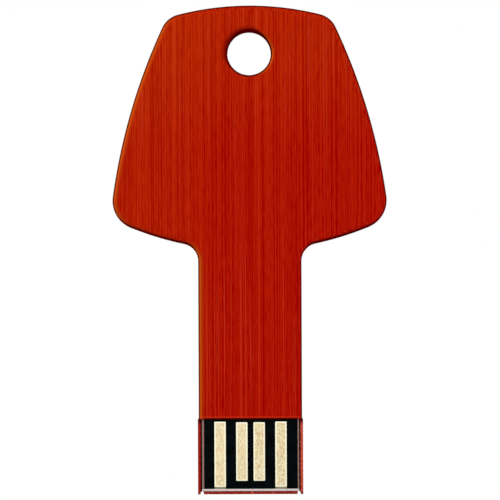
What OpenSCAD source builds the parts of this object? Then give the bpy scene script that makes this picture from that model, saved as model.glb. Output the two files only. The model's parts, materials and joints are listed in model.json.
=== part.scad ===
// Key-shaped USB flash drive: two pressed aluminium shells bonded over a filler plate and a
// one-piece memory module. Upright: +Z runs from the plug's tip to the keyring hole, the
// contacts face -Y, and +X is the width. The origin is at the middle of the plug's tip.

/* [Key outline] */
// Height from the plug's tip to the top of the bow
total_h = 56.2; // [55:0.1:58]
// Radius of the bow's top edge
top_r = 33.2; // [28:0.1:45]
// Radius of the bow's side edges
side_r = 68.6; // [58:0.1:85]
// Half width at which the side edges would stand upright
side_reach = 16.4; // [16:0.05:17.5]
// Height of the centres of the side edges' arcs
side_z = 24.7; // [22:0.1:28]
// Radius of the bow's under edge
under_r = 36.2; // [31:0.1:44]
// Lowest point of the under edge, on the axis
under_z = 28; // [27.4:0.1:30]
// Rounding of the bow's two top corners
top_corner_r = 2.72; // [1:0.02:4]
// Rounding of the bow's two lower corners
low_corner_r = 3.35; // [2:0.05:4.5]
// Rounding where the bow meets the shank
neck_fillet_r = 2.03; // [1:0.01:3]
// Width of the shank
shank_w = 11.88; // [11.86:0.02:12]

/* [Keyring hole] */
// Diameter of the hole
hole_d = 5; // [3:0.1:6]
// Height of the hole's centre
hole_z = 50.7; // [48:0.1:51.5]

/* [Shells] */
// Thickness of the whole drive
body_t = 2.7; // [2.6:0.05:3]
// Thickness of the aluminium sheet
sheet_t = 0.3; // [0.26:0.01:0.32]
// Outside rounding of the shells' edges
edge_r = 0.5; // [0.34:0.01:0.6]
// Width of the hairline seam between the shells
seam_gap = 0.06; // [0.02:0.01:0.2]
// Thickness of the adhesive film under each shell
film_t = 0.2; // [0.12:0.01:0.24]
// Sideways clearance between the shells and what they hold
fit_gap = 0.05; // [0.03:0.01:0.1]

/* [Plug tray] */
// Length of the open plug, below the cover
plug_len = 8.65; // [8.4:0.05:9.4]
// Width over the tray's side walls
plug_w = 12.1; // [12:0.02:12.3]
// How far the side walls stand above the contacts
wall_rise = 0.1; // [0.02:0.01:0.25]
// How far the end wall stops below the contacts
end_wall_drop = 0.08; // [0.02:0.01:0.3]
// Thickness of the end wall
end_wall_t = 0.31; // [0.25:0.01:0.4]
// Width of the end wall
end_wall_w = 10.8; // [10.4:0.05:11]
// Radius of the relief notch in each tip corner
relief_r = 0.19; // [0.12:0.01:0.22]

/* [Memory module] */
// Width of the module
module_w = 11.2; // [11:0.02:11.22]
// Length of the module
module_len = 24.8; // [23.5:0.1:25.4]
// Thickness of the laminate
laminate_t = 0.25; // [0.2:0.01:0.3]
// Thickness of the epoxy over the components
mould_t = 1.1; // [1:0.01:1.15]
// Thickness of the contacts above the laminate
contact_t = 0.05; // [0.03:0.01:0.06]
// Thickness of the solder mask
mask_t = 0.03; // [0.02:0.01:0.03]
// Bare laminate beside the mask
mask_margin = 0.25; // [0.1:0.01:0.4]
// Bevel at the tip of the laminate
bevel = 0.28; // [0.15:0.01:0.4]
// Width of a contact
contact_w = 1.3; // [1:0.05:1.6]
// Distance from the axis to an outer contact
outer_x = 3.5; // [3.4:0.05:3.6]
// Distance from the axis to an inner contact
inner_x = 1; // [0.9:0.05:1.1]

/* [Hidden] */

// Angle between the points of a small arc, and of one of the bow's wide arcs
arc_step = 5;
wide_step = 1.5;
// Turn of a rounded edge that is built in steps, and the turn of one step
edge_sweep = 60;
edge_step = 20;

// Layers, from the front at -Y to the back at +Y
front_y = -body_t / 2;
back_y = body_t / 2;
front_in_y = front_y + sheet_t;
back_in_y = back_y - sheet_t;
contact_y = front_in_y + film_t;
board_y = contact_y + contact_t;
parts_y = board_y + laminate_t;
die_y = parts_y + mask_t;
module_back_y = parts_y + mould_t;
core_back_y = back_in_y - film_t;

// Distances of the contacts' ends from the mask's tip edge and from the cover
outer_foot = 0.22;
outer_head = 0.3;
inner_foot = 0.92;
inner_head = 0.37;

// Levels along the drive
tip_gap = 0.04;
bevel_share = 0.6;
tray_gap = 0.03;
film_cover = 0.4;
module_z = end_wall_t + tip_gap;
module_top = module_z + module_len;
mask_z = module_z + bevel;
bevel_depth = bevel_share * laminate_t;
outer_contact_z = [mask_z + outer_foot, plug_len - outer_head];
inner_contact_z = [mask_z + inner_foot, plug_len - inner_head];
tray_top_z = plug_len - tray_gap;
film_z = plug_len + film_cover;

// Small features of the shells
collar_r = hole_d / 2 + sheet_t;
wall_y = contact_y - wall_rise;
shoulder_r = 0.45;
tip_r = 0.1;

// Overlap of the shank with the tray, and overrun of the cutting tools
lap = 0.1;
cut = 1;

// Edges of the films and the pad, in from the pieces they hold
film_inset = 0.2;
pad_inset = 0.4;

// Round test pads on the covered part of the contact side
test_pad_rows = 5;
test_pad_d = 0.9;
test_pad_x = 3.2;
test_pad_z = 11;
test_pad_pitch = 2.6;

// Silicon dies, each centred at its place across X and Z
die_film_t = 0.03;
controller_place = [0, 6.4];
controller_size = [3.2, 3.4];
controller_t = 0.2;
flash_t = 0.15;
flash_size = [9, 11.4];
flash_step = 0.7;
flash_low_foot = 10.8;
flash_up_foot = flash_low_foot + flash_step;
flash_low_place = [0, flash_low_foot + flash_size[1] / 2];
flash_up_place = [0, flash_up_foot + flash_size[1] / 2];
flash_low_top = die_y + die_film_t + flash_t;
flash_up_top = flash_low_top + die_film_t + flash_t;

// Bonding wires, and the gold fingers they land on
wire_d = 0.06;
wire_rise = 0.12;
pad_in = 0.2;
finger_l = 0.4;
finger_w = 0.16;
finger_gap = 0.7;
controller_pitch = 0.42;
flash_pitch = 0.72;
controller_pad_x = controller_size[0] / 2 - pad_in;
controller_finger_x = controller_size[0] / 2 + finger_gap;
controller_rows = [for (i = [-3:3]) controller_place[1] + i * controller_pitch];
flash_finger_z = flash_low_foot - finger_gap;
flash_columns = [for (i = [-4.5:4.5]) i * flash_pitch];

// Chip capacitors and resistors, and the timing crystal
passive_l = 1;
passive_w = 0.5;
terminal_l = 0.25;
capacitor_t = 0.5;
resistor_t = 0.35;
capacitor_places = [for (x = [-4.3, -2.7, 2.7, 4.3]) [x, 2.2], [-4.3, 9.2], [4.3, 9.2]];
resistor_places = [for (x = [-4, 4], z = [5, 7.4]) [x, z]];
crystal_place = [0, 2.6];
crystal_size = [2, 1.6];
crystal_pad = 0.5;
crystal_base_t = 0.3;
crystal_lid_t = 0.2;
crystal_rim = 0.2;

// Red anodised shells, black plastics, gold contacts
red = [0.66, 0.09, 0.02];
black = [0.05, 0.05, 0.06];
gold = [0.92, 0.84, 0.62];
board_grey = [0.72, 0.69, 0.64];
silicon = [0.36, 0.38, 0.42];
film_grey = [0.82, 0.82, 0.78];
solder_grey = [0.66, 0.67, 0.69];
ceramic_tan = [0.62, 0.5, 0.36];

// --- Outline of the key -------------------------------------------------------------

// Centre that lies da from point a and db from point b, to the right of the line a to b
function meet(a, da, b, db) =
    let (gap = norm(b - a),
        along = (da * da - db * db + gap * gap) / (2 * gap),
        off = sqrt(da * da - along * along),
        dir = (b - a) / gap)
    a + along * dir + off * [dir[1], -dir[0]];

function angle_of(from, to) = atan2(to[1] - from[1], to[0] - from[0]);

// Points of an arc, both ends included
function arc(centre, r, from, to, step = arc_step) =
    let (n = max(1, ceil(abs(to - from) / step)))
    [for (i = [0:n]) let (a = from + (to - from) * i / n) centre + r * [cos(a), sin(a)]];

top_c = [0, total_h - top_r];
side_c = [side_reach - side_r, side_z];
under_c = [0, under_z + under_r];
top_corner_c = meet(top_c, top_r - top_corner_r, side_c, side_r - top_corner_r);
low_corner_c = meet(side_c, side_r - low_corner_r, under_c, under_r - low_corner_r);
neck_x = shank_w / 2 + neck_fillet_r;
neck_c = [neck_x, under_c[1] - sqrt(pow(under_r + neck_fillet_r, 2) - neck_x * neck_x)];

// Right half of the bow's edge, from the shank up to the axis, moved in by inset
function half_bow(inset) = concat(
    arc(neck_c, neck_fillet_r + inset, 180, angle_of(neck_c, under_c)),
    arc(under_c, under_r - inset, angle_of(under_c, neck_c), angle_of(under_c, low_corner_c),
        wide_step),
    arc(low_corner_c, low_corner_r - inset, angle_of(under_c, low_corner_c),
        angle_of(side_c, low_corner_c)),
    arc(side_c, side_r - inset, angle_of(side_c, low_corner_c),
        angle_of(side_c, top_corner_c), wide_step),
    arc(top_corner_c, top_corner_r - inset, angle_of(side_c, top_corner_c),
        angle_of(top_c, top_corner_c)),
    arc(top_c, top_r - inset, angle_of(top_c, top_corner_c), 90, wide_step));

// Keeps one of each pair of points that fall together
function tidy(points) = [for (i = [0:len(points) - 1])
    if (i == 0 || norm(points[i] - points[max(i - 1, 0)]) > 0.001) points[i]];

function mirrored(points) = [for (i = [len(points) - 1:-1:0])
    if (points[i][0] > 0.001) [-points[i][0], points[i][1]]];

// Whole outline of bow and shank, counter-clockwise, with its foot at height foot
function outline(inset, foot) =
    let (half = tidy(concat([[shank_w / 2 - inset, foot]], half_bow(inset))))
    concat(half, mirrored(half));

// --- Building blocks ----------------------------------------------------------------

// Turns a drawing of width and height so that it is extruded along +Y, from y to y + t
module upright(y, t) {
    translate([0, y + t, 0]) rotate([90, 0, 0]) linear_extrude(t) children();
}

// Plate with the key's outline
module key_plate(inset, foot, y, t) {
    upright(y, t) polygon(outline(inset, foot));
}

// Block between two corners
module block(low, high) {
    translate(low) cube(high - low);
}

// Key-shaped solid between its face and the seam. The face's edge is rounded in fine steps:
// each layer starts a little deeper than the last, is a little wider, and reaches the seam.
module pressed_body(face_y, seam_y, foot) {
    toward = sign(seam_y - face_y);
    for (a = [0:edge_step:edge_sweep]) {
        inset = a < edge_sweep ? edge_r * (1 - sin(a + edge_step / 2)) : 0;
        near_y = face_y + toward * edge_r * (1 - cos(a));
        key_plate(inset, foot, min(near_y, seam_y), abs(seam_y - near_y));
    }
}

// Puts a drawing made about +Z onto the keyring hole's axis, its +Z pointing into the drive
module at_hole(face_y) {
    translate([0, face_y, hole_z]) rotate([face_y < 0 ? -90 : 90, 0, 0]) children();
}

// Tool that cuts the keyring hole and rounds its rim at one face
module hole_tool(face_y) {
    at_hole(face_y) {
        translate([0, 0, -cut]) cylinder(h = body_t / 2 + cut, r = hole_d / 2, $fn = 96);
        rotate_extrude($fn = 96) difference() {
            translate([0, -cut]) square([hole_d / 2 + edge_r, edge_r + cut]);
            translate([hole_d / 2 + edge_r, edge_r]) circle(edge_r, $fn = 48);
        }
    }
}

// Sleeve of sheet turned inwards around the keyring hole, as far as the seam
module collar(face_y) {
    at_hole(face_y) translate([0, 0, sheet_t / 2])
        cylinder(h = (body_t - sheet_t - seam_gap) / 2, r = collar_r, $fn = 96);
}

// Clearance hole through the pieces between the shells
module collar_clearance(extra) {
    at_hole(front_y) cylinder(h = body_t, r = collar_r + fit_gap + extra, $fn = 96);
}

// --- Shells -------------------------------------------------------------------------

module front_shell() {
    color(red) difference() {
        union() {
            difference() {
                pressed_body(front_y, -seam_gap / 2, plug_len);
                key_plate(sheet_t, plug_len - cut, front_in_y, body_t);
            }
            collar(front_y);
        }
        hole_tool(front_y);
    }
}

module back_shell() {
    color(red) difference() {
        union() {
            difference() {
                pressed_body(back_y, seam_gap / 2, tray_top_z - lap);
                key_plate(sheet_t, tray_top_z - cut, back_in_y - body_t, body_t);
            }
            collar(back_y);
            plug_tray();
        }
        hole_tool(back_y);
    }
}

// Rectangle from low to high with its two +Y corners rounded
module trough_section(low, high, r) {
    translate(low) square([high[0] - low[0], high[1] - low[1] - r]);
    translate([low[0] + r, low[1]]) square([high[0] - low[0] - 2 * r, high[1] - low[1]]);
    for (x = [low[0] + r, high[0] - r]) translate([x, high[1] - r]) circle(r, $fn = 48);
}

// Tool that rounds one corner of a drawing; inward holds the signs of the way to its middle
module corner_tool(corner, inward, r) {
    translate(corner) mirror([inward[0] < 0 ? 1 : 0, 0]) mirror([0, inward[1] < 0 ? 1 : 0])
        difference() {
            translate([-cut, -cut]) square(r + cut);
            translate([r, r]) circle(r, $fn = 48);
        }
}

// Side view of the tray: Y across, Z up, with its tip, shoulders and back edge rounded
module tray_side() {
    difference() {
        translate([wall_y, 0]) square([back_y - wall_y, tray_top_z]);
        corner_tool([wall_y, tray_top_z], [1, -1], shoulder_r);
        corner_tool([wall_y, 0], [1, 1], tip_r);
        corner_tool([back_y, 0], [-1, 1], edge_r);
    }
}

// Folded tray: floor, two side walls and the end wall, notched where the folds meet
module plug_tray() {
    half = plug_w / 2;
    difference() {
        intersection() {
            union() {
                linear_extrude(tray_top_z) difference() {
                    trough_section([-half, wall_y], [half, back_y], edge_r);
                    trough_section([sheet_t - half, wall_y - cut], [half - sheet_t, back_in_y],
                        edge_r - sheet_t);
                }
                block([-end_wall_w / 2, contact_y + end_wall_drop, 0],
                    [end_wall_w / 2, back_y - sheet_t / 2, end_wall_t]);
            }
            translate([-half - cut, 0, 0]) rotate([90, 0, 90])
                linear_extrude(plug_w + 2 * cut) tray_side();
        }
        for (side = [-1, 1]) translate([side * (end_wall_w / 2 + relief_r), wall_y - cut, 0])
            rotate([-90, 0, 0]) cylinder(h = body_t + 2 * cut, r = relief_r, $fn = 32);
    }
}

// --- Filler and adhesives -----------------------------------------------------------

module core_frame() {
    color(black) difference() {
        key_plate(sheet_t + fit_gap, module_top + 2 * fit_gap, contact_y, core_back_y - contact_y);
        collar_clearance(0);
    }
}

module front_adhesive() {
    color(film_grey) difference() {
        key_plate(sheet_t + film_inset, film_z, front_in_y, film_t);
        collar_clearance(film_inset);
    }
}

module back_adhesive() {
    color(film_grey) difference() {
        key_plate(sheet_t + film_inset, module_z + film_inset, core_back_y, film_t);
        collar_clearance(film_inset);
    }
}

module module_pad() {
    half = module_w / 2 - pad_inset;
    color(film_grey) block([-half, module_back_y, module_z + pad_inset],
        [half, core_back_y, module_top - pad_inset]);
}

// --- Memory module: board and contacts ----------------------------------------------

// Rectangle of the module's face, centred on x, z, extruded from y by t
module chip(centre, size, y, t) {
    block([centre[0] - size[0] / 2, y, centre[1] - size[1] / 2],
        [centre[0] + size[0] / 2, y + t, centre[1] + size[1] / 2]);
}

module module_substrate() {
    profile = [[parts_y, module_z], [parts_y, module_top], [board_y, module_top],
        [board_y, mask_z], [board_y + bevel_depth, module_z]];
    color(board_grey) translate([-module_w / 2, 0, 0]) rotate([90, 0, 90])
        linear_extrude(module_w) polygon(profile);
}

// Gold contact centred on x over the height span, standing on the laminate
module contact(x, span) {
    color(gold) block([x - contact_w / 2, contact_y, span[0]], [x + contact_w / 2, board_y, span[1]]);
}

module contact_power() {
    contact(-outer_x, outer_contact_z);
}

module contact_data_minus() {
    contact(-inner_x, inner_contact_z);
}

module contact_data_plus() {
    contact(inner_x, inner_contact_z);
}

module contact_ground() {
    contact(outer_x, outer_contact_z);
}

module test_pads() {
    color(gold) test_pad_discs();
}

// Two rows of round pads on the covered part of the contact side
module test_pad_discs() {
    for (x = [-1, 1], i = [0:test_pad_rows - 1])
        translate([x * test_pad_x, contact_y, test_pad_z + i * test_pad_pitch])
            rotate([-90, 0, 0]) cylinder(h = contact_t, d = test_pad_d, $fn = 48);
}

// Opening in the mask for a contact centred on x, between two heights
module mask_opening(x, low_z, high_z) {
    block([x - contact_w / 2, board_y - cut, low_z], [x + contact_w / 2, board_y + cut, high_z]);
}

// The mask lies on the laminate, and is open down to the tip at the two outer contacts
module contact_side_mask() {
    half = module_w / 2 - mask_margin;
    color(black) difference() {
        block([-half, board_y - mask_t, mask_z], [half, board_y, module_top - fit_gap]);
        for (x = [-outer_x, outer_x]) mask_opening(x, mask_z - cut, outer_contact_z[1]);
        for (x = [-inner_x, inner_x]) mask_opening(x, inner_contact_z[0], inner_contact_z[1]);
        test_pad_discs();
    }
}

module component_side_mask() {
    color(black) difference() {
        block([-module_w / 2, parts_y, module_z], [module_w / 2, die_y, module_top]);
        finger_blocks(parts_y - cut, die_y + cut);
        solder_blocks(parts_y - cut, die_y + cut);
    }
}

module bond_fingers() {
    color(gold) finger_blocks(parts_y, die_y);
}

module solder_joints() {
    color(solder_grey) solder_blocks(parts_y, die_y);
}

// Gold fingers that the wires land on, between two depths
module finger_blocks(low_y, high_y) {
    for (side = [-1, 1], z = controller_rows)
        chip([side * controller_finger_x, z], [finger_l, finger_w], low_y, high_y - low_y);
    for (x = flash_columns)
        chip([x, flash_finger_z], [finger_w, finger_l], low_y, high_y - low_y);
}

// Solder under each end of the passives and the crystal, between two depths
module solder_blocks(low_y, high_y) {
    for (p = concat(capacitor_places, resistor_places), side = [-1, 1])
        chip([p[0] + side * (passive_l - terminal_l) / 2, p[1]], [terminal_l, passive_w],
            low_y, high_y - low_y);
    for (side = [-1, 1])
        chip([crystal_place[0] + side * (crystal_size[0] - crystal_pad) / 2, crystal_place[1]],
            [crystal_pad, crystal_size[1] - crystal_rim], low_y, high_y - low_y);
}

// --- Memory module: silicon and wires -----------------------------------------------

module controller_die_film() {
    color(film_grey) chip(controller_place, controller_size, die_y, die_film_t);
}

module controller_die() {
    color(silicon) chip(controller_place, controller_size, die_y + die_film_t, controller_t);
}

module flash_film_lower() {
    color(film_grey) chip(flash_low_place, flash_size, die_y, die_film_t);
}

module flash_die_lower() {
    color(silicon) chip(flash_low_place, flash_size, die_y + die_film_t, flash_t);
}

module flash_film_upper() {
    color(film_grey) chip(flash_up_place, flash_size, flash_low_top, die_film_t);
}

module flash_die_upper() {
    color(silicon) chip(flash_up_place, flash_size, flash_low_top + die_film_t, flash_t);
}

// Side view of a bonding wire: run across, height up, from height h0 down to height h1
module wire_loop(run, h0, h1, peak) {
    d = wire_d / 2;
    polygon([[-d, h0], [d, h0], [d, peak - d], [run / 2, peak - d], [run - d, h1],
        [run + d, h1], [run / 2 + d, peak + d], [-d, peak + d]]);
}

module controller_wires() {
    top = die_y + die_film_t + controller_t;
    run = controller_finger_x - controller_pad_x;
    color(gold) for (side = [0, 1], z = controller_rows)
        mirror([side, 0, 0]) translate([controller_pad_x, 0, z - wire_d / 2])
            linear_extrude(wire_d) wire_loop(run, top, die_y, top + wire_rise);
}

// Wires that step from the upper die to the lower die, and from there to the fingers
module flash_wires() {
    color(gold) for (x = flash_columns) {
        flash_wire(x, flash_up_foot + pad_in, flash_up_foot - pad_in, flash_up_top, flash_low_top);
        flash_wire(x, flash_low_foot + pad_in, flash_finger_z, flash_low_top, die_y);
    }
}

// One wire in the plane across x, from height z0 down to z1, between the depths y0 and y1
module flash_wire(x, z0, z1, y0, y1) {
    translate([x - wire_d / 2, 0, z0]) rotate([0, 90, 0]) linear_extrude(wire_d)
        wire_loop(z0 - z1, y0, y1, y0 + wire_rise);
}

// --- Memory module: passives, crystal and encapsulant --------------------------------

// Block of the given length for each chip part
module passive_blocks(places, length, t) {
    for (p = places) chip(p, [length, passive_w], die_y, t);
}

// Metal ends of each chip part
module passive_terminals(places, t) {
    for (p = places, side = [-1, 1])
        chip([p[0] + side * (passive_l - terminal_l) / 2, p[1]], [terminal_l, passive_w], die_y, t);
}

module capacitor_bodies() {
    color(ceramic_tan) passive_blocks(capacitor_places, passive_l - 2 * terminal_l, capacitor_t);
}

module capacitor_terminals() {
    color(solder_grey) passive_terminals(capacitor_places, capacitor_t);
}

module resistor_bodies() {
    color(black) passive_blocks(resistor_places, passive_l - 2 * terminal_l, resistor_t);
}

module resistor_terminals() {
    color(solder_grey) passive_terminals(resistor_places, resistor_t);
}

module crystal_base() {
    color(board_grey) chip(crystal_place, crystal_size, die_y, crystal_base_t);
}

module crystal_lid() {
    color(solder_grey) chip(crystal_place, crystal_size - [crystal_rim, crystal_rim],
        die_y + crystal_base_t, crystal_lid_t);
}

// Epoxy that fills round everything on the component side
module mould_cap() {
    color(black) difference() {
        block([-module_w / 2, die_y, module_z], [module_w / 2, module_back_y, module_top]);
        controller_die_film();
        controller_die();
        controller_wires();
        flash_film_lower();
        flash_die_lower();
        flash_film_upper();
        flash_die_upper();
        flash_wires();
        passive_blocks(capacitor_places, passive_l, capacitor_t);
        passive_blocks(resistor_places, passive_l, resistor_t);
        crystal_base();
        crystal_lid();
    }
}

front_shell();
back_shell();
core_frame();
front_adhesive();
back_adhesive();
module_pad();
module_substrate();
contact_side_mask();
component_side_mask();
contact_power();
contact_data_minus();
contact_data_plus();
contact_ground();
test_pads();
bond_fingers();
solder_joints();
controller_die();
controller_die_film();
controller_wires();
flash_die_lower();
flash_film_lower();
flash_die_upper();
flash_film_upper();
flash_wires();
capacitor_bodies();
capacitor_terminals();
resistor_bodies();
resistor_terminals();
crystal_base();
crystal_lid();
mould_cap();
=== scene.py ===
# Key-shaped USB flash drive: brushed red aluminium shells over a one-piece memory module.
# Lengths are in metres. The drive stands on its plug, +Z up, with the contacts towards -Y.
import json
import math

import bmesh
import bpy
from mathutils import Matrix, Vector, noise


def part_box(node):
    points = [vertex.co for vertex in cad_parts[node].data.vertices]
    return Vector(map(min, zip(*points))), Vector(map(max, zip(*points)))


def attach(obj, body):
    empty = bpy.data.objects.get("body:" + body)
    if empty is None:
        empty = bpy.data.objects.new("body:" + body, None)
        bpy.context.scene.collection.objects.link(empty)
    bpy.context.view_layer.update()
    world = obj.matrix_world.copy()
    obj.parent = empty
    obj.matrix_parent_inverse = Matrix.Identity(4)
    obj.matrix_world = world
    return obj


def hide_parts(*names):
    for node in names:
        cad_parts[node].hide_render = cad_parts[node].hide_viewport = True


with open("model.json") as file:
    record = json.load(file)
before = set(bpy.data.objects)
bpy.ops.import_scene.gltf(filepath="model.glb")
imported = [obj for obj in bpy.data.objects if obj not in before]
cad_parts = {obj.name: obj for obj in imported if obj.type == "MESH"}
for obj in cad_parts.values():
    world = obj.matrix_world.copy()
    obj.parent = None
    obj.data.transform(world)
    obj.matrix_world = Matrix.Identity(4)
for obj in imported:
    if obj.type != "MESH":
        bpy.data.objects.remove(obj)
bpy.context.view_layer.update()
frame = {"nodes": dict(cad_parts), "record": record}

MM = 0.001

# --- Driving sizes ------------------------------------------------------------------------

# Places read from the frame
front_low, front_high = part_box("front_shell")
back_low, back_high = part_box("back_shell")
board_low, board_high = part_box("module_substrate")
mask_low, mask_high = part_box("contact_side_mask")
keyring_hole = next(m for m in frame["record"]["mounts"] if m["name"] == "keyring_hole")

TOP_Z = front_high.z
COVER_Z = front_low.z
FRONT_Y = front_low.y
FRONT_SEAM_Y = front_high.y
BACK_Y = back_high.y
BACK_SEAM_Y = -FRONT_SEAM_Y
WALL_TOP_Y = back_low.y
HOLE_Z = keyring_hole["pos_m"][2]
HOLE_R = keyring_hole["dims"]["r_mm"] * MM

# Outline of the key, which is made of arcs
TOP_R = 33.2 * MM           # top of the bow
SIDE_R = 68.6 * MM          # sides of the bow, whose circles reach SIDE_REACH out at SIDE_Z
SIDE_REACH = 16.4 * MM
SIDE_Z = 24.7 * MM
UNDER_R = 36.2 * MM         # under edge of the bow, whose circle is lowest at UNDER_Z
UNDER_Z = 28.0 * MM
TOP_CORNER_R = 2.72 * MM
LOW_CORNER_R = 3.35 * MM
NECK_R = 2.03 * MM          # where the bow meets the shank
SHANK_HALF = 5.94 * MM

# Pressed shells
SHEET = 0.3 * MM
EDGE_R = 0.5 * MM           # depth of the rounded edge
EDGE_REACH = 0.74 * MM      # width of the rounded edge on the face
CUT_EDGE_R = 0.25 * MM      # rounding of the cover's foot
SEAM_SOFT = 0.03 * MM       # bevel on each side of the seam

# Plug tray
COVER_GAP = 0.03 * MM       # between the cover's foot and the tray's walls
TRAY_TOP = COVER_Z - COVER_GAP
TRAY_HALF = 6.05 * MM
LAP = 0.1 * MM              # how far the tray and the back shell overlap before they are joined
SHOULDER_R = 0.45 * MM
TIP_R = 0.1 * MM
END_WALL_HALF = 5.4 * MM
END_WALL_T = 0.31 * MM
END_WALL_TOP_Y = -0.77 * MM
RELIEF_R = 0.19 * MM        # notches between the end wall and the side walls

# Memory module
CONTACTS = ("contact_power", "contact_data_minus", "contact_data_plus", "contact_ground")
OUTER_CONTACTS = ("contact_power", "contact_ground")
PAD_CORNER_R = 0.09 * MM
PAD_RIM = 0.2 * MM          # width of a contact's sloping rim, which carries a painted highlight
PAD_RIM_DROP = 0.014 * MM   # how far the rim slopes down
PAD_RIM_FADE = 0.7          # below 1, the painted highlight on the rim reaches further in
MASK_RIGHT = 5.42 * MM
TEST_PAD_R = 0.45 * MM
TEST_PAD_ROWS = 5
BEVEL_SHARE = 0.6           # share of the board's thickness that its tip bevel takes
WAVE = 0.035 * MM           # how far the routed edges wave
WAVE_STEP = 0.12 * MM
WAVES_PER_METRE = 2400

# Stretches over which a tint fades in, as the place where it begins and where it is full
WARM_Z = (38 * MM, 54 * MM)
WARM_X = (-1 * MM, -13 * MM)
GLINT_FROM_ABOVE = (COVER_Z + 0.4 * MM, COVER_Z + 0.27 * MM)
GLINT_FROM_BELOW = (COVER_Z + 0.1 * MM, COVER_Z + 0.2 * MM)
TRAY_CUT_Z = (TRAY_TOP, TRAY_TOP - 0.02 * MM)
END_CUT_Z = (END_WALL_T + 0.05 * MM, END_WALL_T + 0.01 * MM)
# Where painted shade darkens the tray's shoulders, and where painted light makes its cut edges
# paler
SHOULDER_SHADE_Z = (8.05 * MM, 8.3 * MM)
LIT_CUT_X = (-2 * MM, 4 * MM)
BOARD_SIDE_X = (5.2 * MM, 5.3 * MM)
BOARD_FACE_Z = (0.58 * MM, 0.64 * MM)
PALE_GOLD_X = (0.5 * MM, -2.5 * MM)

# Shade round the keyring hole, as distances from the hole's edge
HOLE_SHADE_FULL = 0.12 * MM
HOLE_SHADE_END = 0.32 * MM
HOLE_SHADE_UP_LEFT_END = 0.95 * MM

# Floor, light and camera
FLOOR_R = 0.9
LIGHT_PLACE = (-0.5, -0.35, 0.35)
LIGHT_AIM = (0, 0, 0.03)
LIGHT_SIZE = 0.5
LIGHT_POWER = 0.4
LENS = 200
SENSOR = 36
VIEW_HEIGHT = 57.41 * MM    # height that fills the frame, at the cover's face
VIEW_X = 0.025 * MM
VIEW_Z = 28.09 * MM
VIEW_ROLL = math.radians(0.22)

# Fineness of the meshes
FILLET_STEPS = 10
CUT_CORNER_STEPS = 8
SMALL_CORNER_STEPS = 5
PAD_RIM_STEPS = 6
SHANK_STEPS = 8
TIGHT_ARC_STEP = math.radians(3.0)
WIDE_ARC_STEP = math.radians(0.5)
HOLE_STEPS = 128
SMALL_CIRCLE_STEPS = 32
FLOOR_STEPS = 96
CREASE = 35                 # folds sharper than this many degrees stay crisp
PAD_CREASE = 50
OVERRUN = 1.0 * MM          # how far a cutting tool reaches past what it cuts
MERGE = 0.0005 * MM         # points closer than this become one after a boolean


# --- Outline ------------------------------------------------------------------------------

def meet(a, da, b, db):
    """The point da from a and db from b, to the right of the line from a to b."""
    gap = (b - a).length
    along = (da * da - db * db + gap * gap) / (2 * gap)
    off = math.sqrt(da * da - along * along)
    way = (b - a) / gap
    return a + way * along + Vector((way.y, -way.x)) * off


def angle_of(start, end):
    """Direction from start to end, as an angle."""
    return math.atan2(end.y - start.y, end.x - start.x)


def arc(centre, r, start, end, step):
    """Points of an arc without its last point."""
    count = max(1, math.ceil(abs(end - start) / step))
    angles = [start + (end - start) * i / count for i in range(count)]
    return [centre + Vector((math.cos(a), math.sin(a))) * r for a in angles]


# Centres of the arcs, as (x, z)
top_c = Vector((0, TOP_Z - TOP_R))
side_c = Vector((SIDE_REACH - SIDE_R, SIDE_Z))
under_c = Vector((0, UNDER_Z + UNDER_R))
top_corner_c = meet(top_c, TOP_R - TOP_CORNER_R, side_c, SIDE_R - TOP_CORNER_R)
low_corner_c = meet(side_c, SIDE_R - LOW_CORNER_R, under_c, UNDER_R - LOW_CORNER_R)
neck_x = SHANK_HALF + NECK_R
neck_c = Vector((neck_x, under_c.y - math.sqrt((UNDER_R + NECK_R) ** 2 - neck_x ** 2)))


def bow_half(inset):
    """The bow's right edge from the shank to just before the axis, moved in by inset."""
    to_neck = angle_of(under_c, neck_c)
    to_low = angle_of(under_c, low_corner_c)
    low_side = angle_of(side_c, low_corner_c)
    top_side = angle_of(side_c, top_corner_c)
    top_end = angle_of(top_c, top_corner_c)
    return (arc(neck_c, NECK_R + inset, math.pi, angle_of(neck_c, under_c), TIGHT_ARC_STEP)
            + arc(under_c, UNDER_R - inset, to_neck, to_low, WIDE_ARC_STEP)
            + arc(low_corner_c, LOW_CORNER_R - inset, to_low, low_side, TIGHT_ARC_STEP)
            + arc(side_c, SIDE_R - inset, low_side, top_side, WIDE_ARC_STEP)
            + arc(top_corner_c, TOP_CORNER_R - inset, top_side, top_end, TIGHT_ARC_STEP)
            + arc(top_c, TOP_R - inset, top_end, math.pi / 2, WIDE_ARC_STEP))


def key_path(inset, foot):
    """Open path of the key's edge, from the right foot over the top to the left foot."""
    low = Vector((SHANK_HALF - inset, foot))
    high = Vector((SHANK_HALF - inset, neck_c.y))
    right = [low.lerp(high, i / SHANK_STEPS) for i in range(SHANK_STEPS)] + bow_half(inset)
    left = [Vector((-p.x, p.y)) for p in reversed(right)]
    return right + [Vector((0, TOP_Z - inset))] + left


# --- Flat shapes --------------------------------------------------------------------------

def circle(centre, r, count):
    """Loop of points of a circle."""
    turns = [2 * math.pi * i / count for i in range(count)]
    return [centre + Vector((math.cos(t), math.sin(t))) * r for t in turns]


def corner(centre, r, start, steps):
    """Points of a quarter turn about centre, from the angle start in degrees, both ends in."""
    turns = [math.radians(start + 90 * i / steps) for i in range(steps + 1)]
    return [(centre[0] + r * math.cos(t), centre[1] + r * math.sin(t)) for t in turns]


def rounded_rectangle(low, high, r):
    """Loop of points of a rectangle with round corners, counter-clockwise from the right."""
    points = []
    for x, z, start in ((high.x - r, low.y + r, 270), (high.x - r, high.y - r, 0),
                        (low.x + r, high.y - r, 90), (low.x + r, low.y + r, 180)):
        points += [Vector(p) for p in corner((x, z), r, start, SMALL_CORNER_STEPS)]
    return points


def mirrored(points):
    """The points on the other side of the axis."""
    return [(-x, y) for x, y in points]


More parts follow.
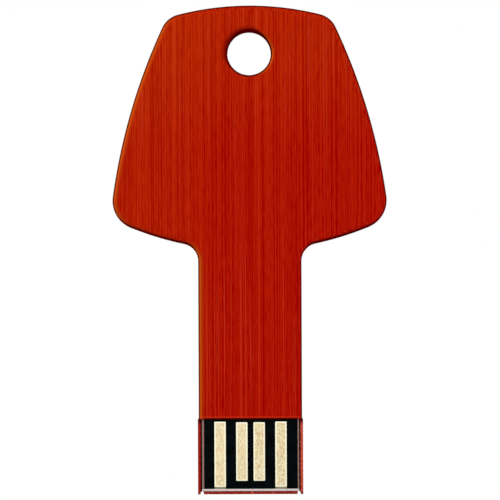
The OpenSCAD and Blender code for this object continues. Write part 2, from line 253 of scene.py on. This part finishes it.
def quarter(r):
    """(inset, depth) pairs along a rounded edge, from the face to the wall."""
    turns = [math.pi / 2 * i / FILLET_STEPS for i in range(FILLET_STEPS + 1)]
    return [(r * (1 - math.sin(t)), r * (1 - math.cos(t))) for t in turns]


def rise(depth, r):
    """How far an edge rounded to r is moved in at a depth below the face."""
    return r - math.sqrt(r * r - (r - depth) ** 2) if depth < r else 0.0


def wavy_edge(x, low_z, high_z, wave, seed):
    """Points of an upright cut edge that waves in and out as a router leaves it."""
    count = round((high_z - low_z) / WAVE_STEP)
    heights = [low_z + (high_z - low_z) * i / count for i in range(count + 1)]
    shifts = [wave * noise.noise(Vector((seed, z * WAVES_PER_METRE, 0))) for z in heights]
    return [Vector((x + shift, z)) for shift, z in zip(shifts, heights)]


# --- Mesh helpers -------------------------------------------------------------------------

def add_points(mesh, points, y):
    """Vertices at depth y for points given as (x, z)."""
    return [mesh.verts.new((p.x, y, p.y)) for p in points]


def join_open(mesh, a, b):
    """Faces between two paths."""
    for i in range(len(a) - 1):
        mesh.faces.new((a[i], a[i + 1], b[i + 1], b[i]))


def join_closed(mesh, a, b):
    """Faces between two loops."""
    for i in range(len(a)):
        mesh.faces.new((a[i - 1], a[i], b[i], b[i - 1]))


def fill_between(mesh, *loops):
    """Flat cap inside the first loop and outside the others."""
    edges = []
    for loop in loops:
        for i in range(len(loop)):
            pair = (loop[i - 1], loop[i])
            edges.append(mesh.edges.get(pair) or mesh.edges.new(pair))
    bmesh.ops.triangle_fill(mesh, use_beauty=True, use_dissolve=False, edges=edges)


def prism(points, axis, low, high):
    """Closed straight solid from a flat outline; axis is the direction that it runs along."""
    mesh = bmesh.new()
    place = {"X": lambda p, t: (t, p[0], p[1]),
             "Y": lambda p, t: (p[0], t, p[1]),
             "Z": lambda p, t: (p[0], p[1], t)}[axis]
    ends = [[mesh.verts.new(place(p, t)) for p in points] for t in (low, high)]
    join_closed(mesh, *ends)
    for end in ends:
        mesh.faces.new(end)
    return mesh


def slab(loops, low_y, high_y):
    """Closed plate between two depths with the first loop's outline and holes at the others."""
    mesh = bmesh.new()
    near = [add_points(mesh, loop, low_y) for loop in loops]
    far = [add_points(mesh, loop, high_y) for loop in loops]
    for a, b in zip(near, far):
        join_closed(mesh, a, b)
    fill_between(mesh, *near)
    fill_between(mesh, *far)
    return mesh


def as_object(mesh, name):
    """Turns a bmesh into an object of the scene, with its faces turned outwards."""
    bmesh.ops.recalc_face_normals(mesh, faces=mesh.faces)
    data = bpy.data.meshes.new(name)
    mesh.to_mesh(data)
    mesh.free()
    made = bpy.data.objects.new(name, data)
    bpy.context.scene.collection.objects.link(made)
    return made


def combine(body, tool, operation):
    """Applies a boolean of tool on body, both enlarged so that tolerances stay small."""
    for part in (body, tool):
        part.data.transform(Matrix.Scale(1 / MM, 4))
    step = body.modifiers.new("step", "BOOLEAN")
    step.operation = operation
    step.solver = "EXACT"
    step.object = tool
    bpy.context.view_layer.update()
    shape = body.evaluated_get(bpy.context.evaluated_depsgraph_get())
    mesh = bmesh.new()
    mesh.from_mesh(shape.data)
    bmesh.ops.remove_doubles(mesh, verts=mesh.verts, dist=MERGE / MM)
    mesh.transform(Matrix.Scale(MM, 4))
    body.modifiers.clear()
    mesh.to_mesh(body.data)
    mesh.free()
    bpy.data.objects.remove(tool)


def soften(piece, crease):
    """Smooth shading that stays crisp at folds sharper than crease and flat on wide faces."""
    data = piece.data
    data.polygons.foreach_set("use_smooth", [True] * len(data.polygons))
    data.set_sharp_from_angle(angle=math.radians(crease))
    weighted = piece.modifiers.new("flat_faces", "WEIGHTED_NORMAL")
    weighted.keep_sharp = True
    weighted.weight = 100


# --- Node networks ------------------------------------------------------------------------

class Net:
    """Node network of a material or world.

    Its methods take numbers, colours or sockets, and give a socket."""

    def __init__(self, owner):
        owner.use_nodes = True
        self.owner = owner
        self.tree = owner.node_tree
        self.tree.nodes.clear()

    def node(self, kind, inputs=(), **settings):
        made = self.tree.nodes.new(kind)
        for key, value in settings.items():
            setattr(made, key, value)
        for key, value in dict(inputs).items():
            if isinstance(value, bpy.types.NodeSocket):
                self.tree.links.new(value, made.inputs[key])
            else:
                made.inputs[key].default_value = value
        return made

    def math(self, operation, a, b=0.0, c=0.0):
        return self.node("ShaderNodeMath", {0: a, 1: b, 2: c}, operation=operation).outputs[0]

    def plus(self, a, b):
        return self.math("ADD", a, b)

    def times(self, a, b):
        return self.math("MULTIPLY", a, b)

    def split(self, vector):
        return self.node("ShaderNodeSeparateXYZ", {0: vector}).outputs[:3]

    def vector(self, operation, a, b):
        return self.node("ShaderNodeVectorMath", {0: a, 1: b}, operation=operation).outputs[0]

    def measure(self, operation, a, b=(0, 0, 0)):
        """Number that a vector operation gives, such as a length."""
        made = self.node("ShaderNodeVectorMath", {0: a, 1: b}, operation=operation)
        return made.outputs["Value"]

    def ramp(self, value, low, high, start=0.0, end=1.0):
        """Follows value smoothly from start at low to end at high, and stays there outside."""
        inputs = {"Value": value, "From Min": low, "From Max": high, "To Min": start,
                  "To Max": end}
        return self.node("ShaderNodeMapRange", inputs, interpolation_type="SMOOTHSTEP").outputs[0]

    def mix(self, factor, a, b):
        """Mix of two colours given as (r, g, b) or sockets."""
        made = self.node("ShaderNodeMix", {0: factor}, data_type="RGBA")
        for key, value in ((6, a), (7, b)):
            if isinstance(value, bpy.types.NodeSocket):
                self.tree.links.new(value, made.inputs[key])
            else:
                made.inputs[key].default_value = (*value, 1)
        return made.outputs[2]

    def end(self, shader, kind="ShaderNodeOutputMaterial"):
        """Ends the network in a shader, and gives the material or world."""
        self.node(kind, {"Surface": shader})
        return self.owner


class Finish(Net):
    """Node network of a material.

    place, x and z say where on the drive a point lies; normal and the out_ values say which
    way its surface faces."""

    def __init__(self, name):
        super().__init__(bpy.data.materials.new(name))
        self.place = self.node("ShaderNodeTexCoord").outputs["Object"]
        self.normal = self.node("ShaderNodeNewGeometry").outputs["Normal"]
        self.x, _, self.z = self.split(self.place)
        self.out_x, self.out_y, self.out_z = self.split(self.normal)

    def noise(self, per_metre, detail=2.0, roughness=0.5):
        """Noise whose grains are one over per_metre long; per_metre may differ per axis."""
        if not isinstance(per_metre, tuple):
            per_metre = (per_metre, per_metre, per_metre)
        where = self.vector("MULTIPLY", self.place, per_metre)
        inputs = {"Vector": where, "Scale": 1.0, "Detail": detail, "Roughness": roughness}
        return self.node("ShaderNodeTexNoise", inputs).outputs[0]

    def bump(self, height, distance, strength):
        inputs = {"Height": height, "Distance": distance, "Strength": strength}
        return self.node("ShaderNodeBump", inputs).outputs[0]

    def surface(self, colour, **inputs):
        """Ends the network in one Principled surface; underscores in names stand for spaces."""
        named = {key.replace("_", " "): value for key, value in inputs.items()}
        return self.end(self.node("ShaderNodeBsdfPrincipled",
                                  {"Base Color": colour, **named}).outputs[0])


def srgb(r, g, b):
    """Linear colour from display values of 0 to 255."""
    shares = [c / 255 for c in (r, g, b)]
    return tuple(c / 12.92 if c < 0.04045 else ((c + 0.055) / 1.055) ** 2.4 for c in shares)


# --- Red aluminium ------------------------------------------------------------------------

def red_aluminium():
    """Red anodised aluminium, brushed along the drive, with painted shade along its rounded edges
    and round the keyring hole, and painted highlights on some edges.
    """
    net = Finish("red_anodised_aluminium")
    grain = brushing(net)
    front = net.ramp(net.out_y, -0.2, -0.6)    # 1 where the surface faces forwards, else 0
    colour = brushed_colour(net, grain)
    colour = with_cut_edges(net, colour)
    colour = with_painted_left_highlight(net, colour, front)
    colour = with_hole_shade(net, colour, front)
    colour = with_painted_underside_shade(net, colour, front)
    colour = with_painted_foot_glint(net, colour, front)
    edge = painted_edge_shade(net)
    # Painted shade: rounded edges that turn away from the eye go near black and lose their metal
    colour = net.mix(edge, colour, srgb(84, 0, 2))
    # Across the brushing; a little off upright, so that it isn't lost on the very top
    across = net.vector("CROSS_PRODUCT", net.normal, (0.001, 0.0, 1.0))
    return net.surface(colour, Metallic=net.math("SUBTRACT", 1.0, edge),
                       Specular_Tint=(0.5, 0.08, 0.04, 1), Specular_IOR_Level=0.0,
                       Roughness=net.ramp(grain, 0.3, 0.7, 0.3, 0.46), Anisotropic=0.55,
                       Tangent=across, Normal=net.bump(grain, 0.004 * MM, 0.35))


def brushing(net):
    """Height of the brushed grain: long lines along the drive, broken up by short hairs."""
    line = net.noise((9000, 9000, 7), detail=1.0)
    hair = net.noise((9500, 9500, 620), roughness=0.6)
    return net.plus(net.times(line, 0.6), net.times(hair, 0.4))


def brushed_colour(net, grain):
    """Two reds along the grain, warmer at the top and the left, with single bright scratches."""
    warmth = net.plus(net.ramp(net.z, *WARM_Z, end=0.35), net.ramp(net.x, *WARM_X, end=0.25))
    dark = net.mix(warmth, srgb(155, 0, 0), srgb(172, 33, 1))
    light = net.mix(warmth, srgb(183, 28, 5), srgb(197, 60, 6))
    scratch = net.ramp(net.noise((11000, 11000, 30), detail=0.0), 0.66, 0.74, end=0.55)
    return net.mix(scratch, net.mix(net.ramp(grain, 0.4, 0.6), dark, light), srgb(206, 64, 36))


def with_cut_edges(net, colour):
    """The tray's cut edges: rough, with painted light making them paler at the right and painted
    shade darkening them at the shoulders.
    """
    lumps = net.ramp(net.noise((6500, 6500, 3800), detail=4.0, roughness=0.6), 0.28, 0.72)
    spots = net.ramp(net.noise(3600, detail=1.0), 0.6, 0.72)
    # Painted light and shade: a shaded red for the cut edges at the left, a lit, paler red for
    # those at the right
    left = net.mix(lumps, srgb(112, 10, 6), srgb(176, 42, 26))
    right = net.mix(lumps, srgb(160, 40, 28), srgb(218, 98, 74))
    cut = net.mix(net.ramp(net.x, *LIT_CUT_X), left, right)
    end = net.mix(spots, net.mix(lumps, srgb(120, 20, 16), srgb(166, 48, 36)), srgb(214, 92, 60))
    cut = net.mix(net.ramp(net.z, *END_CUT_Z), cut, end)
    # Painted shade: purplish near black at the shoulders
    cut = net.mix(net.ramp(net.z, *SHOULDER_SHADE_Z, end=0.8), cut, srgb(72, 4, 26))
    where = net.times(net.ramp(net.z, *TRAY_CUT_Z), net.ramp(net.out_y, -0.7, -0.9))
    return net.mix(where, colour, cut)


def with_painted_left_highlight(net, colour, front):
    """Painted highlight: orange where the front's rounded edge turns to the left."""
    # Painted highlight, paler orange where the edge turns further to the left
    glow = net.mix(net.ramp(net.out_x, -0.3, -0.55), srgb(170, 52, 8), srgb(190, 76, 18))
    return net.mix(net.times(net.ramp(net.out_x, -0.02, -0.36), front), colour, glow)


def with_hole_shade(net, colour, front):
    """Dark ring round the keyring hole, widest at the upper left."""
    from_hole = net.vector("SUBTRACT", net.place, (0, FRONT_Y, HOLE_Z))
    up_left = net.measure("DOT_PRODUCT", from_hole, (-0.7, 0, 0.7))
    reach = net.ramp(up_left, 0.0, HOLE_R, HOLE_R + HOLE_SHADE_END,
                     HOLE_R + HOLE_SHADE_UP_LEFT_END)
    far = net.measure("LENGTH", from_hole)
    shade = net.ramp(far, reach, HOLE_R + HOLE_SHADE_FULL, end=0.85)
    not_leftward = net.ramp(net.out_x, -0.3, -0.1)
    return net.mix(net.times(shade, net.times(front, not_leftward)), colour, srgb(104, 0, 2))


def with_painted_underside_shade(net, colour, front):
    """Painted shade: nearly black where the front's rounded edge turns down."""
    underside_shade = net.times(net.ramp(net.out_z, -0.28, -0.62, end=0.95), front)
    return net.mix(underside_shade, colour, srgb(70, 0, 4))


def with_painted_foot_glint(net, colour, front):
    """Painted highlight: a pale line along the foot of the cover."""
    glint = net.times(net.ramp(net.z, *GLINT_FROM_ABOVE, end=0.45),
                      net.ramp(net.z, *GLINT_FROM_BELOW))
    return net.mix(net.times(glint, front), colour, srgb(216, 56, 28))


def painted_edge_shade(net):
    """How far a rounded edge turns away from the eye, as the share of painted shade there; flat
    sides count only when edge-on.
    """
    facing = net.node("ShaderNodeLayerWeight", {"Blend": 0.5}).outputs["Facing"]
    flat = net.math("ABSOLUTE", net.out_y)
    upright = net.math("MAXIMUM", net.ramp(flat, 0.02, 0.2), net.ramp(facing, 0.75, 0.9))
    rounded = net.times(net.ramp(flat, 0.95, 0.85), upright)
    return net.times(rounded, net.ramp(facing, 0.16, 0.42))


# --- Other materials ----------------------------------------------------------------------

def laminate():
    """Cut glass-fibre laminate: pale at the tip's bevel from its bare cut and from painted light,
    olive on the face, mauve at the sides.
    """
    net = Finish("board_laminate")
    side = net.ramp(net.math("ABSOLUTE", net.x), *BOARD_SIDE_X)
    fibres = net.noise((26000, 26000, 2600))
    specks = net.noise(14000)
    face = net.mix(side, srgb(140, 134, 104), srgb(150, 112, 104))
    # The bevel's near white is partly the bare cut laminate and partly painted light
    colour = net.mix(net.ramp(net.z, *BOARD_FACE_Z), srgb(255, 250, 248), face)
    colour = net.mix(net.ramp(fibres, 0.35, 0.75, end=0.35), colour, srgb(96, 80, 70))
    return net.surface(colour, Roughness=net.ramp(specks, 0.3, 0.7, 0.5, 0.75),
                       Normal=net.bump(specks, 0.006 * MM, 0.5))


def solder_mask():
    """Smooth black solder mask, faintly blue and uneven, with a little dust."""
    net = Finish("black_solder_mask")
    cloud = net.noise(900)
    orange_peel = net.noise(5200, detail=1.0)
    dust = net.ramp(net.noise(23000, detail=1.0), 0.74, 0.8, end=0.4)
    colour = net.mix(net.ramp(cloud, 0.35, 0.65), srgb(0, 2, 2), srgb(2, 7, 10))
    colour = net.mix(dust, colour, srgb(60, 66, 70))
    return net.surface(colour, Roughness=net.ramp(orange_peel, 0.3, 0.7, 0.16, 0.26),
                       Specular_IOR_Level=0.025, Normal=net.bump(orange_peel, 0.002 * MM, 0.3))


def gold():
    """Matt gold plate with fine speckle, paler at the left, with a painted highlight and a faint
    painted glow along the pads' rims.
    """
    net = Finish("gold_plating")
    speckle = net.noise(15000, detail=4.0, roughness=0.7)
    mottle = net.noise((6500, 6500, 4200), detail=4.0, roughness=0.62)
    patch = net.noise(1500)
    rim = net.node("ShaderNodeAttribute", attribute_name="rim").outputs["Fac"]
    colour = net.mix(net.ramp(mottle, 0.3, 0.7), srgb(212, 180, 122), srgb(255, 252, 220))
    colour = net.mix(net.ramp(speckle, 0.5, 0.72, end=0.7), colour, srgb(186, 144, 100))
    colour = net.mix(net.ramp(patch, 0.4, 0.65, end=0.4), colour, srgb(246, 226, 172))
    colour = net.mix(net.ramp(net.x, *PALE_GOLD_X, end=0.3), colour, srgb(255, 238, 194))
    # Painted highlight along the rims, with a faint painted glow from the emission below
    colour = net.mix(rim, colour, srgb(255, 253, 226))
    return net.surface(colour, Metallic=1.0, Emission_Color=(1.0, 0.92, 0.7, 1),
                       Emission_Strength=net.times(rim, 0.07),
                       Roughness=net.ramp(speckle, 0.3, 0.7, 0.34, 0.5),
                       Normal=net.bump(speckle, 0.004 * MM, 0.5))


def silicon():
    """Polished silicon with the faint grid of its circuits."""
    net = Finish("silicon")
    where = net.vector("MULTIPLY", net.place, (9000, 9000, 9000))
    cells = net.node("ShaderNodeTexBrick", {"Vector": where, "Scale": 1.0, "Mortar Size": 0.08})
    colour = net.mix(cells.outputs["Fac"], srgb(72, 76, 92), srgb(120, 124, 138))
    return net.surface(colour, Metallic=0.6,
                       Roughness=net.ramp(net.noise(4000), 0.3, 0.7, 0.15, 0.3))


def bright_metal(name, dark, light, roughness):
    """Plated or soldered metal with uneven gloss."""
    net = Finish(name)
    texture = net.noise(9000)
    colour = net.mix(net.ramp(texture, 0.3, 0.7), dark, light)
    return net.surface(colour, Metallic=1.0, Roughness=net.ramp(texture, 0.3, 0.7, *roughness),
                       Normal=net.bump(texture, 0.003 * MM, 0.3))


def moulded(name, dark, light, roughness, grain):
    """Moulded plastic, ceramic, film or foam with a fine texture of grain grains per metre."""
    net = Finish(name)
    texture = net.noise(grain, detail=3.0)
    cloud = net.noise(grain / 12)
    colour = net.mix(net.ramp(cloud, 0.35, 0.65), dark, light)
    return net.surface(colour, Roughness=net.ramp(texture, 0.3, 0.7, *roughness),
                       Normal=net.bump(texture, 0.01 * MM, 0.4))


# Dark and light colour and range of roughness
BRIGHT_METALS = {
    "gold_wire": (srgb(214, 170, 84), srgb(240, 204, 120), (0.15, 0.3)),
    "solder": (srgb(160, 162, 166), srgb(204, 206, 208), (0.2, 0.45)),
    "crystal_lid_metal": (srgb(190, 186, 170), srgb(222, 216, 196), (0.2, 0.35)),
}

# Dark and light colour, range of roughness and grains per metre
MOULDED = {
    "black_moulded_plastic": (srgb(24, 24, 26), srgb(34, 34, 36), (0.45, 0.6), 6000),
    "mould_epoxy": (srgb(18, 18, 20), srgb(28, 28, 30), (0.5, 0.7), 9000),
    "adhesive_film": (srgb(214, 214, 206), srgb(228, 228, 220), (0.4, 0.55), 2500),
    "foam_pad": (srgb(120, 120, 118), srgb(160, 160, 156), (0.8, 0.95), 5000),
    "capacitor_ceramic": (srgb(146, 112, 76), srgb(170, 134, 94), (0.35, 0.55), 12000),
    "resistor_ceramic": (srgb(16, 16, 18), srgb(30, 30, 34), (0.25, 0.45), 12000),
    "crystal_ceramic": (srgb(120, 112, 100), srgb(140, 130, 116), (0.45, 0.6), 12000),
}

# The finish of each material slot in the record
FINISHES = {
    "red_anodised_aluminium": red_aluminium(),
    "gold_plating": gold(),
    "black_solder_mask": solder_mask(),
    "board_laminate": laminate(),
    "silicon": silicon(),
    **{name: bright_metal(name, *look) for name, look in BRIGHT_METALS.items()},
    **{name: moulded(name, *look) for name, look in MOULDED.items()},
}


def finish_piece(piece, slot, node):
    """Gives a piece its finish and its place on the drive; it stands for the CAD node."""
    piece.data.materials.clear()
    piece.data.materials.append(FINISHES[slot])
    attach(piece, "root")
    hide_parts(node)


def dress_frame():
    """Gives every CAD node the finish of its slot."""
    slots = {part["node"]: part["material_slot"] for part in frame["record"]["subparts"]}
    for name, node in frame["nodes"].items():
        node.data.materials.clear()
        node.data.materials.append(FINISHES[slots[name]])


# --- Shells -------------------------------------------------------------------------------

def edge_profile():
    """(inset, depth) pairs down the rounded edge, one of them at the sheet's thickness.

    The rounded edge is a quarter of an ellipse, wider than it is deep."""
    slope = EDGE_REACH / EDGE_R
    pairs = [(inset * slope, depth) for inset, depth in quarter(EDGE_R)]
    pairs.append((rise(SHEET, EDGE_R) * slope, SHEET))
    return sorted(pairs, key=lambda pair: pair[1])


def pressed_shell(face_y, seam_y, foot, foot_r):
    """Closed shell of pressed sheet with the key's outline, open towards the seam and the foot.

    Paths run round the key from the face outwards, over the rounded edge to the seam, and back
    along the inside. Within the sheet's thickness they are closed across the foot.
    foot_r rounds the cut edge at the foot, on the face's side."""
    mesh = bmesh.new()
    toward = 1 if seam_y > face_y else -1
    to_seam = abs(seam_y - face_y)

    def at(depth):
        return face_y + toward * depth

    in_sheet = [pair for pair in edge_profile() if pair[1] <= SHEET]
    below = [pair for pair in edge_profile() if pair[1] > SHEET]
    below += [(0.0, to_seam - SEAM_SOFT), (SEAM_SOFT, to_seam)]

    # Where the inner walls cross the foot, as a share of its length at the sheet's thickness
    at_sheet = in_sheet[-1][0]
    inner_share = (SHEET - at_sheet) / (2 * (SHANK_HALF - at_sheet))

    closed = []
    for inset, depth in in_sheet:
        path = key_path(inset, foot + rise(depth, foot_r))
        path += [path[-1].lerp(path[0], inner_share), path[0].lerp(path[-1], inner_share)]
        closed.append(add_points(mesh, path, at(depth)))
    for a, b in zip(closed, closed[1:]):
        join_closed(mesh, a, b)

    *edge, left_foot, right_foot = closed[-1]
    paths = [edge]
    paths += [add_points(mesh, key_path(inset, foot), at(depth)) for inset, depth in below]
    paths.append(add_points(mesh, key_path(SHEET, foot), seam_y))
    inside = add_points(mesh, key_path(SHEET, foot)[1:-1], at(SHEET))
    inner_face = [right_foot, *inside, left_foot]
    for a, b in zip(paths, paths[1:] + [inner_face]):
        join_open(mesh, a, b)
    mesh.faces.new([path[0] for path in paths] + [right_foot])
    mesh.faces.new([path[-1] for path in paths] + [left_foot])

    bore = keyring_bore(mesh, to_seam, at)
    fill_between(mesh, closed[0], bore[0])
    fill_between(mesh, inner_face, bore[-1])
    return mesh


def keyring_bore(mesh, to_seam, at):
    """Rings of the keyring hole, from the face over its rounded lip to the inside."""
    profile = [(HOLE_R + inset, depth) for inset, depth in quarter(EDGE_R)]
    profile += [(HOLE_R, to_seam - SEAM_SOFT), (HOLE_R + SEAM_SOFT, to_seam),
                (HOLE_R + SHEET, to_seam), (HOLE_R + SHEET, SHEET)]
    centre = Vector((0, HOLE_Z))
    rings = [add_points(mesh, circle(centre, r, HOLE_STEPS), at(depth)) for r, depth in profile]
    for a, b in zip(rings, rings[1:]):
        join_closed(mesh, a, b)
    return rings


def tray_section():
    """Cross section of the tray across X and Y: a trough, open towards -Y."""
    low = WALL_TOP_Y - OVERRUN
    inner_half = TRAY_HALF - SHEET
    inner_y = BACK_Y - SHEET
    inner_r = EDGE_R - SHEET
    outer = [(TRAY_HALF, low)]
    outer += corner((TRAY_HALF - EDGE_R, BACK_Y - EDGE_R), EDGE_R, 0, FILLET_STEPS)
    inner = [(inner_half, low)]
    inner += corner((inner_half - inner_r, inner_y - inner_r), inner_r, 0, SMALL_CORNER_STEPS)
    return outer + mirrored(outer[::-1]) + mirrored(inner) + inner[::-1]


def tray_side_view():
    """Outline of the tray across Y and Z, with the tip, the shoulders and the back rounded."""
    shoulder = (WALL_TOP_Y + SHOULDER_R, TRAY_TOP - SHOULDER_R)
    return (corner((BACK_Y - EDGE_R, EDGE_R), EDGE_R, 270, FILLET_STEPS)
            + [(BACK_Y, TRAY_TOP)]
            + corner(shoulder, SHOULDER_R, 90, CUT_CORNER_STEPS)
            + corner((WALL_TOP_Y + TIP_R, TIP_R), TIP_R, 180, CUT_CORNER_STEPS))


def plug_tray():
    """Folded tray: floor, side walls and end wall, notched where the folds meet."""
    tray = as_object(prism(tray_section(), "Z", -OVERRUN, TRAY_TOP + OVERRUN), "back_cover")
    in_floor = BACK_Y - SHEET / 2
    end_wall = [(-END_WALL_HALF, END_WALL_TOP_Y), (END_WALL_HALF, END_WALL_TOP_Y),
                (END_WALL_HALF, in_floor), (-END_WALL_HALF, in_floor)]
    combine(tray, as_object(prism(end_wall, "Z", -OVERRUN, END_WALL_T), "end_wall"), "UNION")
    reach = TRAY_HALF + OVERRUN
    combine(tray, as_object(prism(tray_side_view(), "X", -reach, reach), "side"), "INTERSECT")
    for side in (-1, 1):
        centre = Vector((side * (END_WALL_HALF + RELIEF_R), 0))
        notch = [tuple(p) for p in circle(centre, RELIEF_R, SMALL_CIRCLE_STEPS)]
        tool = prism(notch, "Y", WALL_TOP_Y - OVERRUN, BACK_Y + OVERRUN)
        combine(tray, as_object(tool, "notch"), "DIFFERENCE")
    return tray


def front_cover():
    """Pressed cover of the bow and shank, ending at the plug."""
    shell = pressed_shell(FRONT_Y, FRONT_SEAM_Y, COVER_Z, CUT_EDGE_R)
    piece = as_object(shell, "front_cover")
    soften(piece, CREASE)
    finish_piece(piece, "red_anodised_aluminium", "front_shell")


def back_cover():
    """Pressed back of the bow and shank, in one sheet with the plug tray."""
    piece = plug_tray()
    shell = pressed_shell(BACK_Y, BACK_SEAM_Y, TRAY_TOP - LAP, 0.0)
    combine(piece, as_object(shell, "shell"), "UNION")
    soften(piece, CREASE)
    finish_piece(piece, "red_anodised_aluminium", "back_shell")


# --- Memory module ------------------------------------------------------------------------

def pad_levels(front_y, back_y):
    """(inset, y, painted highlight) of a contact's loops, from its back over its rim to its face.
    """
    levels = [(0.0, back_y, 1.0)]
    for i in range(PAD_RIM_STEPS + 1):
        turn = math.pi / 2 * i / PAD_RIM_STEPS
        inset = PAD_RIM * i / PAD_RIM_STEPS
        drop = PAD_RIM_DROP * (1 - math.sin(turn))
        levels.append((inset, front_y + drop, math.cos(turn) ** PAD_RIM_FADE))
    return levels


def contact_pad(name):
    """Gold contact with sloping rims that carry a painted highlight."""
    low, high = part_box(name)
    mesh = bmesh.new()
    rim = mesh.verts.layers.float.new("rim")
    loops = []
    for inset, y, rim_highlight in pad_levels(low.y, high.y):
        step = Vector((inset, inset))
        corners = rounded_rectangle(low.xz + step, high.xz - step, PAD_CORNER_R)
        loops.append(add_points(mesh, corners, y))
        for vertex in loops[-1]:
            vertex[rim] = rim_highlight
    for a, b in zip(loops, loops[1:]):
        join_closed(mesh, a, b)
    mesh.faces.new(loops[0])
    mesh.faces.new(loops[-1])
    piece = as_object(mesh, name + "_pad")
    soften(piece, PAD_CREASE)
    finish_piece(piece, "gold_plating", name)


def board():
    """Laminate with routed, slightly wavy sides and a bevelled tip."""
    low, high = board_low, board_high
    right = wavy_edge(high.x - WAVE / 2, low.z, high.z, WAVE, seed=3.0)
    left = wavy_edge(low.x + WAVE / 2, low.z, high.z, WAVE, seed=9.0)
    piece = as_object(slab([right + left[::-1]], low.y, high.y), "board")
    depth = BEVEL_SHARE * (high.y - low.y)
    wedge = [(low.y - OVERRUN, low.z - OVERRUN), (low.y + depth, low.z - OVERRUN),
             (low.y + depth, low.z), (low.y, mask_low.z), (low.y - OVERRUN, mask_low.z)]
    tool = as_object(prism(wedge, "X", low.x - OVERRUN, high.x + OVERRUN), "wedge")
    combine(piece, tool, "DIFFERENCE")
    finish_piece(piece, "board_laminate", "module_substrate")


def mask():
    """Solder mask with openings for the contacts; its right edge follows the routed board."""
    right = wavy_edge(MASK_RIGHT, mask_low.z, mask_high.z, WAVE, seed=5.0)
    left = wavy_edge(mask_low.x, mask_low.z, mask_high.z, WAVE / 5, seed=7.0)
    foot = []
    openings = []
    for name in CONTACTS:
        low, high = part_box(name)
        if name in OUTER_CONTACTS:
            foot += [Vector((low.x, mask_low.z)), Vector((low.x, high.z)),
                     Vector((high.x, high.z)), Vector((high.x, mask_low.z))]
        else:
            openings.append(rounded_rectangle(low.xz, high.xz, PAD_CORNER_R))
    openings += [circle(c, TEST_PAD_R, SMALL_CIRCLE_STEPS) for c in test_pad_centres()]
    outline = foot + right + left[::-1]
    piece = as_object(slab([outline] + openings, mask_low.y, mask_high.y), "contact_side_coating")
    finish_piece(piece, "black_solder_mask", "contact_side_mask")


def test_pad_centres():
    """Centres of the two columns of round pads, from the box round them all."""
    low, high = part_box("test_pads")
    pitch = (high.z - low.z - 2 * TEST_PAD_R) / (TEST_PAD_ROWS - 1)
    return [Vector((x, low.z + TEST_PAD_R + i * pitch))
            for x in (low.x + TEST_PAD_R, high.x - TEST_PAD_R) for i in range(TEST_PAD_ROWS)]


# --- Studio -------------------------------------------------------------------------------

def floor():
    """Pale matt floor that fades out where it is seen edge-on or from below."""
    net = Finish("floor")
    pale = net.node("ShaderNodeBsdfDiffuse", {"Color": (0.86, 0.86, 0.86, 1)}).outputs[0]
    clear = net.node("ShaderNodeBsdfTransparent").outputs[0]
    to_eye = net.node("ShaderNodeNewGeometry").outputs["Incoming"]
    seen = net.ramp(net.split(to_eye)[2], 0.1, 0.3)
    matt = net.end(net.node("ShaderNodeMixShader", {0: seen, 1: clear, 2: pale}).outputs[0])

    mesh = bmesh.new()
    rim = circle(Vector((0, 0)), FLOOR_R, FLOOR_STEPS)
    mesh.faces.new([mesh.verts.new((p.x, p.y, 0)) for p in rim])
    made = as_object(mesh, "floor")
    made.data.materials.append(matt)


def tent():
    """White for the camera; for everything else a soft tent, brighter at the left and above."""
    world = bpy.data.worlds.new("studio")
    bpy.context.scene.world = world
    net = Net(world)
    direction = net.node("ShaderNodeTexCoord").outputs["Generated"]
    rightward, _, upward = net.split(direction)
    strength = net.math("MULTIPLY_ADD", rightward, -0.05, 1.0)
    strength = net.math("MULTIPLY_ADD", upward, 0.08, strength)
    white = {"Color": (1, 1, 1, 1), "Strength": 1.0}
    backdrop = net.node("ShaderNodeBackground", white).outputs[0]
    glow = net.node("ShaderNodeBackground", {**white, "Strength": strength}).outputs[0]
    to_camera = net.node("ShaderNodeLightPath").outputs["Is Camera Ray"]
    pick = net.node("ShaderNodeMixShader", {0: to_camera, 1: glow, 2: backdrop})
    net.end(pick.outputs[0], "ShaderNodeOutputWorld")


def left_light():
    """Large soft lamp at the upper left, in front of the drive."""
    data = bpy.data.lights.new("left_light", "AREA")
    data.size = LIGHT_SIZE
    data.energy = LIGHT_POWER
    lamp = bpy.data.objects.new("left_light", data)
    lamp.location = LIGHT_PLACE
    lamp.rotation_mode = "QUATERNION"
    lamp.rotation_quaternion = (Vector(LIGHT_AIM) - Vector(LIGHT_PLACE)).to_track_quat("-Z", "Y")
    bpy.context.scene.collection.objects.link(lamp)


def camera():
    """Straight on to the front, the whole drive nearly filling the height."""
    data = bpy.data.cameras.new("camera")
    data.lens = LENS
    data.sensor_width = SENSOR
    data.clip_start = 0.01
    data.clip_end = 10
    view = bpy.data.objects.new("camera", data)
    distance = VIEW_HEIGHT * LENS / SENSOR
    view.location = (VIEW_X, FRONT_Y - distance, VIEW_Z)
    view.rotation_euler = (math.pi / 2, VIEW_ROLL, 0)
    bpy.context.scene.collection.objects.link(view)
    bpy.context.scene.camera = view
    bpy.context.scene.view_settings.view_transform = "Standard"


# --- The whole drive ----------------------------------------------------------------------

dress_frame()
front_cover()
back_cover()
board()
mask()
for contact in CONTACTS:
    contact_pad(contact)

floor()
tent()
left_light()
camera()
